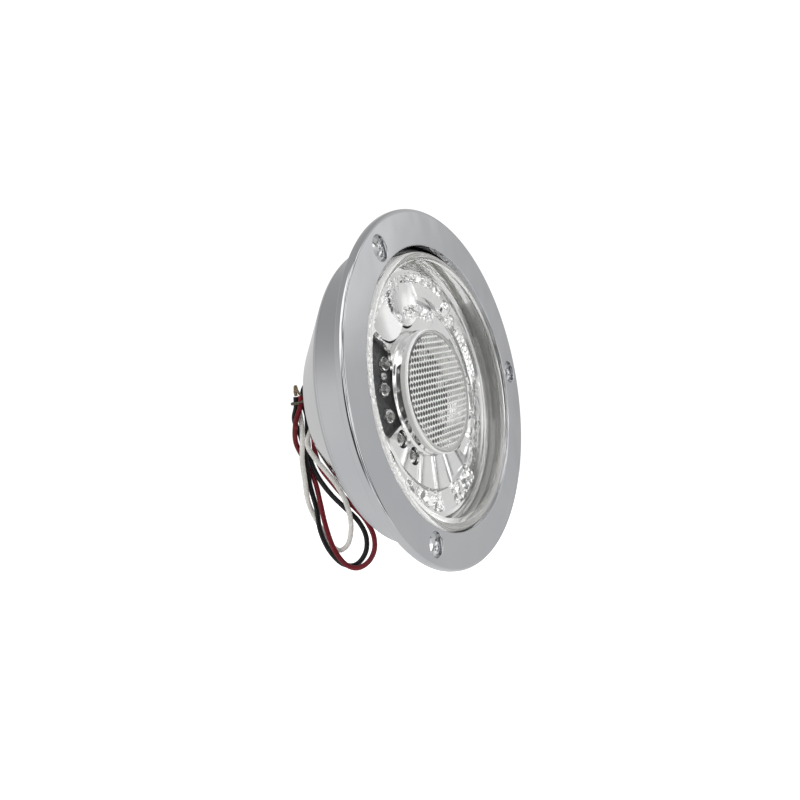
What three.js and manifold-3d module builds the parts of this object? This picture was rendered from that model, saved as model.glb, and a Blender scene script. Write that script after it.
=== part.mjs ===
// Round trailer tail light: a clear LED lamp held in a chromed surface-mount flange,
// with a conical rear cover and three hook-up leads folded into a tied loop.
//
// Frame: millimetres, +Z up, the lens faces -Y and the leads leave towards +Y.
// The origin is the centre of the flange's back face, which lies on the vehicle panel.
// "Depth" below is measured backwards from the flange's front face.

import * as THREE from 'three';
import { mergeVertices } from 'three/addons/utils/BufferGeometryUtils.js';
import Module from 'manifold-3d';

const wasm = await Module();
wasm.setup();

// ---------------------------------------------------------------- driving dimensions

const FLANGE_RADIUS = 70;
const FLANGE_THICKNESS = 3;
const OPENING_RADIUS = 55.7;
const SCREW_CIRCLE_RADIUS = 62;
const SCREW_HOLE_RADIUS = 2.4;
const SCREW_SINK_RADIUS = 4.8;
const SCREW_SINK_DEPTH = 2;
const SCREW_ANGLES = [0, 120, 240];

const SKIRT_RADIUS = 59.2;
const SKIRT_WALL = 1.8;
const SKIRT_END = 18.6;
const COVER_START = 18.9;
const COVER_LIP_START = 15.5;
const COVER_END = 44;
const COVER_WALL = 2;
const COVER_BACK_RADIUS = 34.6;
const COVER_HOLE_RADIUS = 6;

const GROMMET_BORE = 3.7;
const GROMMET_INNER_FLANGE_RADIUS = 7.4;
const GROMMET_OUTER_FLANGE_RADIUS = 8.2;
const GROMMET_FRONT = 39.8;
const GROMMET_END = 49;

const LAMP_DROP = 0.85;
const LENS_RADIUS = 54.4;
const LENS_WALL = 2;
const LENS_BEAD_RADIUS = 1.6;
const LENS_BEAD_DEPTH = 0.4;
const LENS_FACE_DEPTH = 1.3;
const LENS_INNER_DEPTH = 3;
const LENS_WALL_END = 9.4;
const GASKET_RADIUS = 56.2;
const GASKET_START = 4.5;
const GASKET_END = 9.2;
const BASE_RADIUS = 54;
const BASE_START = 9.7;
const BASE_END = 26;
const BASE_WALL = 2;
const LEDGE_RADIUS = 49;
const LEAD_HOLE_RADIUS = 6.5;

const BOARD_FRONT = 12.2;
const BOARD_THICKNESS = 1.6;
const BOARD_RADIUS = 51.3;
const BOARD_BACK = BOARD_FRONT + BOARD_THICKNESS;
const GAP = 0.3;

const LED_RADIUS = 2.5;
const LED_DOME_HEIGHT = 1.7;
const LED_FLANGE_RADIUS = 2.9;
const LED_FLANGE_HEIGHT = 1.1;
const RING_LED_RADIUS = 28.5;
const RING_LED_ANGLES = [150, 170, 190, 210, 230, 310, 330, 350, 10, 30];
const CENTRE_LED_RADIUS = 14.8;
const CENTRE_LED_ANGLES = [14, 74, 134, 194, 254, 314];

const REFLECTOR_RADIUS = 51.4;
const REFLECTOR_BORE_RADIUS = 25;
const WINDOW_INNER_RADIUS = 20;
const WINDOWS = [
  { start: 141, end: 200, outer: 39.6 },
  { start: 340, end: 399, outer: 33 },
];
const APERTURE_RADIUS = 4;
const APERTURE_ANGLES = [210, 230, 310, 330];

const COLLAR_RADIUS = 23.9;
const COLLAR_FRONT = 6.7;
const OPTIC_RADIUS = 24.5;
const OPTIC_RIM = 1.3;
const OPTIC_FRONT = 3.4;
const OPTIC_BACK = 5.4;

const BOARD_SCREW_ANGLES = [40, 160, 280];
const BOARD_SCREW_RADIUS = 1;
const BOARD_SCREW_HEAD_RADIUS = 1.75;
const BOARD_SCREW_END = 19.5;
const BOSS_RADIUS = 2.8;

const POTTING_FRONT = 15.8;
const POTTING_BACK = 23.6;
const RESISTOR_SIZE = [3.2, 0.7, 1.6];
const RESISTOR_ANGLES = [70, 150, 230, 310];
const DIODE_SIZE = [4.4, 1.2, 2.6];

const LEAD_DIAMETER = 2.2;
const LEAD_END_DIAMETER = 1.1;

const ROUND_SEGMENTS = 48;
const SMALL_SEGMENTS = 10;

// ---------------------------------------------------------------- materials

const MATERIALS = {
  chrome: [0xd9dbde, 0.08, 1],
  clear: [0xf2f4f2, 0.05, 0],
  metallised: [0xe4e5e6, 0.06, 1],
  board: [0x2a2c2e, 0.55, 0],
  ledBody: [0xf4f4ee, 0.1, 0],
  basePlastic: [0xcfcdc4, 0.5, 0],
  rubber: [0x18191a, 0.8, 0],
  resin: [0x26241f, 0.45, 0],
  steel: [0xb4b6b8, 0.3, 1],
  ceramic: [0x1b1b1c, 0.4, 0],
  blackLead: [0x0d0d0e, 0.45, 0],
  redLead: [0xa01020, 0.45, 0],
  whiteLead: [0xdedcd4, 0.45, 0],
  strand: [0xa08a62, 0.35, 1],
  tie: [0x5a4c34, 0.6, 0],
};

function material(name) {
  const [color, roughness, metalness] = MATERIALS[name];
  return new THREE.MeshStandardMaterial({ color, roughness, metalness });
}

// ---------------------------------------------------------------- geometry helpers

const depthToY = (depth) => depth - FLANGE_THICKNESS;
const radians = THREE.MathUtils.degToRad;

// A point on a circle of the given radius, seen from the front with 0 degrees at 3 o'clock.
function onCircle(radius, degrees, depth = 0) {
  const angle = radians(degrees);
  return new THREE.Vector3(radius * Math.cos(angle), depthToY(depth), radius * Math.sin(angle));
}

// Six times the volume that a closed mesh encloses, negative when its faces point in.
function signedVolume(position, index) {
  const [a, b, c] = [new THREE.Vector3(), new THREE.Vector3(), new THREE.Vector3()];
  let sum = 0;
  for (let i = 0; i < index.length; i += 3) {
    a.fromBufferAttribute(position, index[i]);
    b.fromBufferAttribute(position, index[i + 1]);
    c.fromBufferAttribute(position, index[i + 2]);
    sum += a.dot(b.cross(c));
  }
  return sum;
}

// A closed body with shared vertices, no flat triangles and its faces pointing out.
function closed(geometry) {
  const bare = geometry.clone();
  bare.deleteAttribute('normal');
  bare.deleteAttribute('uv');
  const merged = mergeVertices(bare, 1e-4);
  const source = merged.index.array;
  let index = [];
  for (let i = 0; i < source.length; i += 3) {
    const [a, b, c] = source.slice(i, i + 3);
    if (a !== b && b !== c && c !== a) index.push(a, b, c);
  }
  if (signedVolume(merged.attributes.position, index) < 0) index = index.reverse();
  merged.setIndex(index);
  return merged;
}

// A ring, disc or cup turned about the lamp's axis from [radius, depth] points.
function turned(profile, segments = ROUND_SEGMENTS) {
  const points = profile.map(([radius, depth]) => new THREE.Vector2(radius, depthToY(depth)));
  const first = points[0];
  const last = points[points.length - 1];
  if (first.x > 0 || last.x > 0) points.push(first.clone());
  return closed(new THREE.LatheGeometry(points, segments));
}

function toSolid(geometry) {
  const vertProperties = new Float32Array(geometry.attributes.position.array);
  const triVerts = new Uint32Array(geometry.index.array);
  return new wasm.Manifold(new wasm.Mesh({ numProp: 3, vertProperties, triVerts }));
}

function fromSolid(solid) {
  const mesh = solid.getMesh();
  const geometry = new THREE.BufferGeometry();
  geometry.setAttribute('position', new THREE.BufferAttribute(mesh.vertProperties, 3));
  geometry.setIndex(Array.from(mesh.triVerts));
  return geometry;
}

// The geometry with every cutter taken out of it.
function cut(geometry, cutters) {
  const solid = cutters.reduce((rest, cutter) => rest.subtract(toSolid(cutter)), toSolid(geometry));
  return fromSolid(solid);
}

function joined(geometry, additions) {
  const solid = additions.reduce((sum, addition) => sum.add(toSolid(addition)), toSolid(geometry));
  return fromSolid(solid);
}

// A turned shape moved off the lamp's axis.
function turnedAt(profile, place, segments = SMALL_SEGMENTS) {
  const geometry = turned(profile, segments);
  geometry.translate(place.x, 0, place.z);
  return geometry;
}

// A straight round hole or boss along the lamp's axis.
function peg(radius, startDepth, endDepth, place, segments = SMALL_SEGMENTS) {
  const profile = [[0, startDepth], [radius, startDepth], [radius, endDepth], [0, endDepth]];
  return turnedAt(profile, place, segments);
}

// A round wire or cord through the given points.
function tube(points, diameter, steps, sides = 8) {
  const places = points.map((point) => new THREE.Vector3(...point));
  const curve = new THREE.CatmullRomCurve3(places, false, 'catmullrom', 0.5);
  const section = new THREE.Shape();
  for (let i = 0; i < sides; i += 1) {
    const angle = (2 * Math.PI * i) / sides;
    const [x, y] = [(diameter / 2) * Math.cos(angle), (diameter / 2) * Math.sin(angle)];
    if (i === 0) section.moveTo(x, y);
    else section.lineTo(x, y);
  }
  section.closePath();
  return closed(new THREE.ExtrudeGeometry(section, { extrudePath: curve, steps, bevelEnabled: false }));
}

function node(name, geometry, materialName) {
  const mesh = new THREE.Mesh(geometry, material(materialName));
  mesh.name = name;
  return mesh;
}

const serial = (number) => String(number).padStart(2, '0');

// ---------------------------------------------------------------- housing

// Flange and skirt in one piece, with three counterbored screw holes.
function flangeBezel() {
  const skirtInner = SKIRT_RADIUS - SKIRT_WALL;
  const body = turned([
    [OPENING_RADIUS + 0.4, 0],
    [FLANGE_RADIUS - 0.8, 0],
    [FLANGE_RADIUS - 0.2, 0.25],
    [FLANGE_RADIUS, 0.8],
    [FLANGE_RADIUS, FLANGE_THICKNESS],
    [SKIRT_RADIUS, FLANGE_THICKNESS],
    [SKIRT_RADIUS, SKIRT_END],
    [skirtInner, SKIRT_END],
    [skirtInner, 4.2],
    [OPENING_RADIUS, 3.4],
    [OPENING_RADIUS, 0.4],
  ]);
  const holes = SCREW_ANGLES.map((degrees) => {
    const profile = [
      [0, -1],
      [SCREW_SINK_RADIUS, -1],
      [SCREW_SINK_RADIUS, SCREW_SINK_DEPTH - 0.4],
      [SCREW_HOLE_RADIUS, SCREW_SINK_DEPTH],
      [SCREW_HOLE_RADIUS, FLANGE_THICKNESS + 1],
      [0, FLANGE_THICKNESS + 1],
    ];
    return turnedAt(profile, onCircle(SCREW_CIRCLE_RADIUS, degrees), 24);
  });
  return node('flange_bezel', cut(body, holes), 'chrome');
}

// Conical cap whose lip slides into the skirt, with a hole for the grommet at its centre.
function rearCover() {
  const lipOuter = SKIRT_RADIUS - SKIRT_WALL - GAP;
  const lipInner = lipOuter - SKIRT_WALL;
  return node('rear_cover', turned([
    [SKIRT_RADIUS, COVER_START],
    [SKIRT_RADIUS - 0.1, COVER_START + 0.6],
    [SKIRT_RADIUS - 0.8, COVER_START + 1.5],
    [COVER_BACK_RADIUS, COVER_END - 1.2],
    [COVER_BACK_RADIUS - 1.3, COVER_END - 0.3],
    [COVER_BACK_RADIUS - 2.8, COVER_END],
    [COVER_HOLE_RADIUS, COVER_END],
    [COVER_HOLE_RADIUS, COVER_END - COVER_WALL],
    [COVER_BACK_RADIUS - 3.2, COVER_END - COVER_WALL],
    [lipInner, COVER_START + 0.8],
    [lipInner, COVER_LIP_START],
    [lipOuter, COVER_LIP_START],
    [lipOuter, COVER_START],
  ]), 'chrome');
}

// Rubber strain relief with flanges on both sides of the cover's back wall and a tapered nose.
function rearGrommet() {
  const neck = COVER_HOLE_RADIUS - GAP;
  return node('rear_grommet', turned([
    [GROMMET_BORE, GROMMET_FRONT],
    [GROMMET_INNER_FLANGE_RADIUS, GROMMET_FRONT],
    [GROMMET_INNER_FLANGE_RADIUS, COVER_END - COVER_WALL - GAP],
    [neck, COVER_END - COVER_WALL - GAP],
    [neck, COVER_END + GAP],
    [GROMMET_OUTER_FLANGE_RADIUS, COVER_END + GAP],
    [GROMMET_OUTER_FLANGE_RADIUS, COVER_END + 1.6],
    [GROMMET_OUTER_FLANGE_RADIUS - 0.6, COVER_END + 2.2],
    [neck - 0.1, COVER_END + 2.4],
    [GROMMET_BORE + 1.2, GROMMET_END],
    [GROMMET_BORE, GROMMET_END],
  ], 24), 'rubber');
}

// ---------------------------------------------------------------- lamp unit

// Clear cap: flat face, raised half-round bead and a deep side wall.
function lens() {
  const bead = [];
  for (let degrees = 144; degrees >= 0; degrees -= 36) {
    const angle = radians(degrees);
    const radius = LENS_RADIUS - LENS_BEAD_RADIUS * (1 - Math.cos(angle));
    bead.push([radius, LENS_BEAD_DEPTH + LENS_BEAD_RADIUS * (1 - Math.sin(angle))]);
  }
  return node('lens', turned([
    [0, LENS_FACE_DEPTH - 0.3],
    [30, LENS_FACE_DEPTH - 0.2],
    [LENS_RADIUS - 2 * LENS_BEAD_RADIUS - 0.6, LENS_FACE_DEPTH],
    ...bead,
    [LENS_RADIUS, LENS_WALL_END],
    [LENS_RADIUS - LENS_WALL, LENS_WALL_END],
    [LENS_RADIUS - LENS_WALL, LENS_INNER_DEPTH],
    [0, LENS_INNER_DEPTH],
  ]), 'clear');
}

// Rubber ring that fills the gap behind the bezel's lip.
function lensGasket() {
  const inner = LENS_RADIUS + GAP;
  return node('lens_gasket', turned([
    [inner, GASKET_START + 0.3],
    [GASKET_RADIUS - 0.5, GASKET_START],
    [GASKET_RADIUS, GASKET_START + 0.5],
    [GASKET_RADIUS, GASKET_END],
    [inner, GASKET_END],
  ]), 'rubber');
}

// Plastic tub: a rim under the lens wall, a ledge for the board and bosses for its screws.
function lampBase() {
  const rimInner = BOARD_RADIUS + GAP + 0.2;
  const floorFront = BASE_END - BASE_WALL;
  const tub = turned([
    [rimInner, BASE_START],
    [BASE_RADIUS, BASE_START],
    [BASE_RADIUS, SKIRT_END],
    [BASE_RADIUS - 7.4, BASE_END],
    [LEAD_HOLE_RADIUS, BASE_END],
    [LEAD_HOLE_RADIUS, floorFront],
    [LEDGE_RADIUS - 4.4, floorFront],
    [LEDGE_RADIUS, SKIRT_END + 1.6],
    [LEDGE_RADIUS, BOARD_BACK + GAP],
    [rimInner, BOARD_BACK + GAP],
  ]);
  const bosses = BOARD_SCREW_ANGLES.map((degrees) => (
    peg(BOSS_RADIUS, BOARD_BACK + GAP, floorFront + 0.5, onCircle(RING_LED_RADIUS, degrees))
  ));
  const threads = BOARD_SCREW_ANGLES.map((degrees) => (
    peg(BOARD_SCREW_RADIUS + GAP, BOARD_BACK, BOARD_SCREW_END + 0.5, onCircle(RING_LED_RADIUS, degrees))
  ));
  return node('lamp_base', cut(joined(tub, bosses), threads), 'basePlastic');
}

// Circuit board with clearance holes for its three screws.
function circuitBoard() {
  const disc = turned([
    [0, BOARD_FRONT],
    [BOARD_RADIUS, BOARD_FRONT],
    [BOARD_RADIUS, BOARD_BACK],
    [0, BOARD_BACK],
  ]);
  const holes = BOARD_SCREW_ANGLES.map((degrees) => (
    peg(BOARD_SCREW_RADIUS + GAP, BOARD_FRONT - 1, BOARD_BACK + 1, onCircle(RING_LED_RADIUS, degrees))
  ));
  return node('circuit_board', cut(disc, holes), 'board');
}

// Pan-head screw that holds the board on its boss.
function boardScrew(degrees, number) {
  const headBack = BOARD_FRONT - GAP;
  const headFront = headBack - 1.3;
  const profile = [
    [0, headFront],
    [BOARD_SCREW_HEAD_RADIUS - 0.55, headFront],
    [BOARD_SCREW_HEAD_RADIUS, headFront + 0.5],
    [BOARD_SCREW_HEAD_RADIUS, headBack],
    [BOARD_SCREW_RADIUS, headBack],
    [BOARD_SCREW_RADIUS, BOARD_SCREW_END - 0.5],
    [0, BOARD_SCREW_END],
  ];
  return node(`board_screw_${number}`, turnedAt(profile, onCircle(RING_LED_RADIUS, degrees)), 'steel');
}

// Clear epoxy LED: a low round dome on a base flange.
function led(name, place) {
  const base = BOARD_FRONT - GAP;
  const domeBase = base - LED_FLANGE_HEIGHT;
  const sphereRadius = (LED_RADIUS ** 2 + LED_DOME_HEIGHT ** 2) / (2 * LED_DOME_HEIGHT);
  const sweep = Math.asin(LED_RADIUS / sphereRadius);
  const steps = 3;
  const dome = [];
  for (let i = 0; i <= steps; i += 1) {
    const angle = (sweep * i) / steps;
    const drop = sphereRadius * (1 - Math.cos(angle));
    dome.push([sphereRadius * Math.sin(angle), domeBase - LED_DOME_HEIGHT + drop]);
  }
  const profile = [...dome, [LED_FLANGE_RADIUS, domeBase], [LED_FLANGE_RADIUS, base], [0, base]];
  return node(name, turnedAt(profile, place), 'ledBody');
}

// A sector of a ring between two angles, right through the reflector's depth.
function windowCutter({ start, end, outer }) {
  const outline = new THREE.Shape();
  outline.absarc(0, 0, outer, radians(start), radians(end), false);
  outline.absarc(0, 0, WINDOW_INNER_RADIUS, radians(end), radians(start), true);
  const sector = new THREE.ExtrudeGeometry(outline, { depth: 20, bevelEnabled: false, curveSegments: 18 });
  sector.rotateX(Math.PI / 2);
  sector.translate(0, depthToY(20), 0);
  return closed(sector);
}

// Metallised ring with a window over the board at each side and a hole for each LED beside it.
function outerReflector() {
  const ring = turned([
    [REFLECTOR_RADIUS, 9.7],
    [REFLECTOR_RADIUS, BOARD_FRONT - GAP],
    [50, BOARD_FRONT - GAP],
    [50, 11],
    [46, 11.3],
    [40, 10.4],
    [REFLECTOR_BORE_RADIUS, 9.9],
    [REFLECTOR_BORE_RADIUS, 8.7],
    [40, 9],
    [46, 10],
    [49.6, 9.7],
  ]);
  const apertures = APERTURE_ANGLES.map((degrees) => (
    peg(APERTURE_RADIUS, 5, 15, onCircle(RING_LED_RADIUS, degrees), 20)
  ));
  return node('outer_reflector', cut(ring, [...WINDOWS.map(windowCutter), ...apertures]), 'metallised');
}

// Metallised collar round the centre LEDs: a flared outer wall and a bowl-shaped inner wall.
function centreReflector() {
  const foot = BOARD_FRONT - GAP;
  return node('centre_reflector', turned([
    [COLLAR_RADIUS - 1.1, COLLAR_FRONT],
    [COLLAR_RADIUS, COLLAR_FRONT],
    [COLLAR_RADIUS - 0.2, COLLAR_FRONT + 0.6],
    [COLLAR_RADIUS + 0.8, 9.5],
    [COLLAR_RADIUS - 1.7, 10.2],
    [COLLAR_RADIUS - 2.5, foot],
    [COLLAR_RADIUS - 4, foot],
  ]), 'metallised');
}

// Clear disc with a short rim that stands on the collar.
function centreOptic() {
  return node('centre_optic', turned([
    [0, OPTIC_FRONT],
    [OPTIC_RADIUS - 0.5, OPTIC_FRONT],
    [OPTIC_RADIUS, OPTIC_FRONT + 0.5],
    [OPTIC_RADIUS, COLLAR_FRONT - GAP],
    [OPTIC_RADIUS - OPTIC_RIM, COLLAR_FRONT - GAP],
    [OPTIC_RADIUS - OPTIC_RIM, OPTIC_BACK],
    [0, OPTIC_BACK],
  ]), 'clear');
}

// Resin slab behind the board, with a hole for the leads and room for the screw bosses.
function potting() {
  const radius = LEDGE_RADIUS - 1.5;
  const slab = turned([
    [LEAD_HOLE_RADIUS, POTTING_FRONT],
    [radius, POTTING_FRONT],
    [radius, SKIRT_END + 1.4],
    [radius - 3.9, POTTING_BACK],
    [LEAD_HOLE_RADIUS, POTTING_BACK],
  ]);
  const bossHoles = BOARD_SCREW_ANGLES.map((degrees) => (
    peg(BOSS_RADIUS + GAP, POTTING_FRONT - 1, POTTING_BACK + 1, onCircle(RING_LED_RADIUS, degrees))
  ));
  return node('potting', cut(slab, bossHoles), 'resin');
}

// Small block soldered on the back of the board.
function boardChip(name, size, radius, degrees) {
  const geometry = closed(new THREE.BoxGeometry(size[0], size[1], size[2]));
  geometry.rotateY(-radians(degrees));
  const place = onCircle(radius, degrees, BOARD_BACK + 0.1 + size[1] / 2);
  geometry.translate(place.x, place.y, place.z);
  return node(name, geometry, 'ceramic');
}

// ---------------------------------------------------------------- leads

// Each lead leaves the grommet, bends down through the tie, makes one long loop and comes
// back up through the tie, where its stripped end stands out of the bundle.
const LEAD_ROUTES = {
  black: [
    [-0.6, 43, 1.3], [-0.9, 47.3, 1.4], [-1.7, 51.4, 4.4], [-1.3, 55, 9.7], [0.3, 61, 12.1],
    [0.6, 65.6, 9.8], [0.4, 67.4, 4.4], [1.6, 67.5, -1.7], [2.3, 69.3, -8.3], [2.9, 70.6, -14],
    [2.5, 70.9, -20], [1.9, 68.5, -27.8], [1.6, 63.4, -36.2], [1, 56.7, -43.2], [1, 51.3, -49],
    [1, 48.6, -55.7], [1, 49.8, -62.1], [1.2, 54.2, -66.9], [1.4, 59.3, -68.6], [0.8, 64.4, -66.6],
    [0.5, 69, -60.3], [0, 71, -51.8], [-0.1, 70.6, -42.3], [-0.2, 71.6, -31.1], [-0.4, 70.8, -20.3],
    [0.2, 71.7, -10.8], [-2.4, 71.4, -2.7], [-2, 69.5, 2.6], [-1.9, 68.7, 6.9],
  ],
  red: [
    [-0.6, 43, -1.5], [-0.5, 47.6, -1.4], [0.1, 51.9, 1], [0.2, 55, 6], [0.3, 58.9, 8.1],
    [0.4, 62.6, 7.1], [0.4, 64.7, 3.6], [-1, 64.3, -3], [-1.4, 63.8, -10], [-0.3, 65.4, -17.4],
    [-1.2, 63.3, -24.8], [-1, 58.6, -32.4], [-1, 54.2, -38.6], [-0.8, 50.2, -43.4],
    [-1, 45.8, -48.9], [-1, 43.4, -55.5], [-1, 44.4, -61.8], [-1, 48.8, -66.9], [-1.4, 54.9, -69],
    [-1.4, 60.6, -66.6], [-1.5, 64.6, -59.7], [-1.9, 66.2, -49.4], [-1.4, 67, -39.7],
    [2.2, 70.5, -30.1], [2, 73.8, -20.6], [-2, 73.3, -12.2], [-4.3, 69.7, -4.2], [-2.9, 66.9, 2],
    [-2, 65.9, 6.9],
  ],
  white: [
    [2.1, 43, -0.1], [2.1, 47.5, 0], [2.9, 52.2, 2.5], [3, 55.7, 7.4], [3, 60.2, 9.5], [3, 64, 8.3],
    [2.9, 66, 4.4], [3.1, 65.1, -1.8], [0.9, 65.8, -7.5], [-2.5, 67, -13.4], [-3.5, 64.1, -19.4],
    [-3.5, 59.4, -26], [-3.5, 54.8, -33.2], [-3.7, 52.2, -39.9], [-3, 51.9, -46.4],
    [-1, 54.2, -52.8], [1, 58.4, -58.9], [2.3, 63.9, -61.8], [3.3, 68.4, -60.3], [3.1, 70.9, -55.3],
    [1.7, 73.2, -47.7], [-1.8, 73, -38.9], [-3.5, 71.2, -29.3], [-3.4, 70.7, -20.4],
    [-2, 69.8, -12.6], [-1.5, 68.8, -5.9], [0.5, 70.1, 0.6], [0.5, 70, 6.9],
  ],
};

const LEAD_END_ROUTES = {
  black: [[-1.9, 68.6, 7.3], [-1.7, 68.8, 9.2], [-1.1, 68.6, 11.6]],
  red: [[-1.9, 66, 7.3], [-2.2, 66.9, 9.2], [-2.2, 67.6, 11.9]],
  white: [[0.4, 69.9, 7.3], [0.2, 69.9, 9.2], [-0.3, 69.4, 11.3]],
};

const TIE_CENTRE = new THREE.Vector3(0.35, 67.3, 4.4);
const TIE_INNER_RADIUS = 4.4;
const TIE_THICKNESS = 0.8;
const TIE_WIDTH = 1;

function lead(colour) {
  return node(`lead_${colour}`, tube(LEAD_ROUTES[colour], LEAD_DIAMETER, 40), `${colour}Lead`);
}

function leadEnd(colour) {
  return node(`lead_end_${colour}`, tube(LEAD_END_ROUTES[colour], LEAD_END_DIAMETER, 4), 'strand');
}

// The hidden stretch of a lead, from the board's back to the grommet.
function innerLead(colour) {
  const [x, y, z] = LEAD_ROUTES[colour][0];
  const start = depthToY(BOARD_BACK + GAP);
  const end = y - 0.6;
  const points = [[x, start, z], [x, (start + end) / 2, z], [x, end, z]];
  return node(`inner_lead_${colour}`, tube(points, LEAD_DIAMETER, 2), `${colour}Lead`);
}

function leadTie() {
  const [inner, outer] = [TIE_INNER_RADIUS, TIE_INNER_RADIUS + TIE_THICKNESS];
  const half = TIE_WIDTH / 2;
  const section = [[inner, -half], [outer, -half], [outer, half], [inner, half], [inner, -half]];
  const band = closed(new THREE.LatheGeometry(section.map(([x, y]) => new THREE.Vector2(x, y)), 20));
  band.rotateX(Math.PI / 2);
  band.translate(TIE_CENTRE.x, TIE_CENTRE.y, TIE_CENTRE.z);
  return node('lead_tie', band, 'tie');
}

// ---------------------------------------------------------------- assembly

const group = new THREE.Group();
group.add(flangeBezel(), rearCover(), rearGrommet());

// The lamp unit sits a little low in the bezel's opening.
const lamp = new THREE.Group();
lamp.position.z = -LAMP_DROP;
lamp.add(
  lens(),
  lensGasket(),
  lampBase(),
  circuitBoard(),
  outerReflector(),
  centreReflector(),
  centreOptic(),
  potting(),
);
BOARD_SCREW_ANGLES.forEach((degrees, i) => lamp.add(boardScrew(degrees, i + 1)));
RING_LED_ANGLES.forEach((degrees, i) => {
  lamp.add(led(`ring_led_${serial(i + 1)}`, onCircle(RING_LED_RADIUS, degrees)));
});
CENTRE_LED_ANGLES.forEach((degrees, i) => {
  lamp.add(led(`centre_led_${serial(i + 1)}`, onCircle(CENTRE_LED_RADIUS, degrees)));
});
RESISTOR_ANGLES.forEach((degrees, i) => {
  lamp.add(boardChip(`resistor_${i + 1}`, RESISTOR_SIZE, 20, degrees));
});
lamp.add(boardChip('diode', DIODE_SIZE, 34, 10));
group.add(lamp);

for (const colour of ['black', 'red', 'white']) {
  group.add(lead(colour), leadEnd(colour), innerLead(colour));
}
group.add(leadTie());

export default group;
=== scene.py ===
"""Looks for a round trailer tail light: a clear LED lamp in a chromed flange, with three tied leads.

Lengths are millimetres until a mesh is made. The lamp faces -Y and the leads leave towards +Y.
"""

import math
import random
from collections import namedtuple

import bmesh
import bpy
import numpy as np
from mathutils import Matrix, Vector


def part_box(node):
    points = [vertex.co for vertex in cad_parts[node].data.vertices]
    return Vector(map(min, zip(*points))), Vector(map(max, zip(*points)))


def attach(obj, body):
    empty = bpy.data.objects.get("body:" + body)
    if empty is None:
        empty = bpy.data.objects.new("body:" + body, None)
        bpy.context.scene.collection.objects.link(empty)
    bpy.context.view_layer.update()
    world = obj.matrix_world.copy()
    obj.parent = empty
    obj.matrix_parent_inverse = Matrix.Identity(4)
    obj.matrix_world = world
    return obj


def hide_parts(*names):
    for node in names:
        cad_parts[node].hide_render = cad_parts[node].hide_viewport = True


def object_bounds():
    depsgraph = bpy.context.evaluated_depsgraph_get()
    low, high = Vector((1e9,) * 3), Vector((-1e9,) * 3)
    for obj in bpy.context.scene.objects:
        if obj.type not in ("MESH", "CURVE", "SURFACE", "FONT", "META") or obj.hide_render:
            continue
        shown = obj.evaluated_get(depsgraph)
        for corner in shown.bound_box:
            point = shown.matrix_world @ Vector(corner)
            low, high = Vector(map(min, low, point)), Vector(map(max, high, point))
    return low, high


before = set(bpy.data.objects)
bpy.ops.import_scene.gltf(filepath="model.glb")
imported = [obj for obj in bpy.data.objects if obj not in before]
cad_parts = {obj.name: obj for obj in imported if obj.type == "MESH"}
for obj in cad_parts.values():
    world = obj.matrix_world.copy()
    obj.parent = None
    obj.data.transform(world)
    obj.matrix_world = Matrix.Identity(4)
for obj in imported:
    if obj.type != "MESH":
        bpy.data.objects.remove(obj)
CAD_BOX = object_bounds()

MM = 0.001
TAU = 2 * math.pi

# ---- places from the frame

Place = namedtuple("Place", "x z radius front back")


def place_of(node):
    """Where a turned CAD node stands: its axis, largest radius, front and back."""
    low, high = (Vector(corner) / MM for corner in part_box(node))
    return Place((low.x + high.x) / 2, (low.z + high.z) / 2, (high.x - low.x) / 2, low.y, high.y)


BEZEL = place_of("flange_bezel")
COVER = place_of("rear_cover")
GROMMET = place_of("rear_grommet")
LENS = place_of("lens")
GASKET = place_of("lens_gasket")
OPTIC = place_of("centre_optic")
COLLAR = place_of("centre_reflector")
RING = place_of("outer_reflector")
BOARD = place_of("circuit_board")
TIE = place_of("lead_tie")

CHROMED_WALL = 1.8
OPENING_RADIUS = 55.7
SCREW_CIRCLE_RADIUS = 62
SCREW_SINK_RADIUS = 4.8
SCREW_HOLE_RADIUS = 2.4
SCREW_ANGLES = (0, 120, 240)
RING_LED_RADIUS = 28.5
APERTURE_RADIUS = 3.5
APERTURE_ANGLES = (210, 230, 310, 330)
# Painted shade: inside this radius the board is painted black.
BOARD_PAINTED_SHADE_RADIUS = 22
LENS_FACE_RADIUS = 50.9
LENSLET_HEIGHT = 0.6
LENSLET_ROWS = 2.25
LENSLET_COLUMNS = 2.05
LEAD_DIAMETER = 2.2
STRAND_DIAMETER = 0.4

CAMERA_PLACE = (-291.1, -153.6, 10.9)
CAMERA_RIGHT = (0.4952, -0.8484, -0.1871)
CAMERA_UP = (0.1272, -0.1422, 0.9816)
CAMERA_LENS = 38.05
CAMERA_SENSOR = 36


def on_circle(radius, degrees):
    """The x and z of a point on a circle, seen from the front with 0 degrees at 3 o'clock."""
    angle = math.radians(degrees)
    return radius * math.cos(angle), radius * math.sin(angle)


# ---- camera


def make_camera():
    """Low camera at the lamp's left front."""
    right, up = Vector(CAMERA_RIGHT), Vector(CAMERA_UP)
    data = bpy.data.cameras.new("camera")
    data.lens = CAMERA_LENS
    data.sensor_width = CAMERA_SENSOR
    camera = bpy.data.objects.new("camera", data)
    bpy.context.collection.objects.link(camera)
    turn = Matrix((right, up, right.cross(up))).transposed().to_4x4()
    camera.matrix_world = Matrix.Translation(Vector(CAMERA_PLACE) * MM) @ turn
    bpy.context.scene.camera = camera


make_camera()

# ---- the leads

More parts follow.
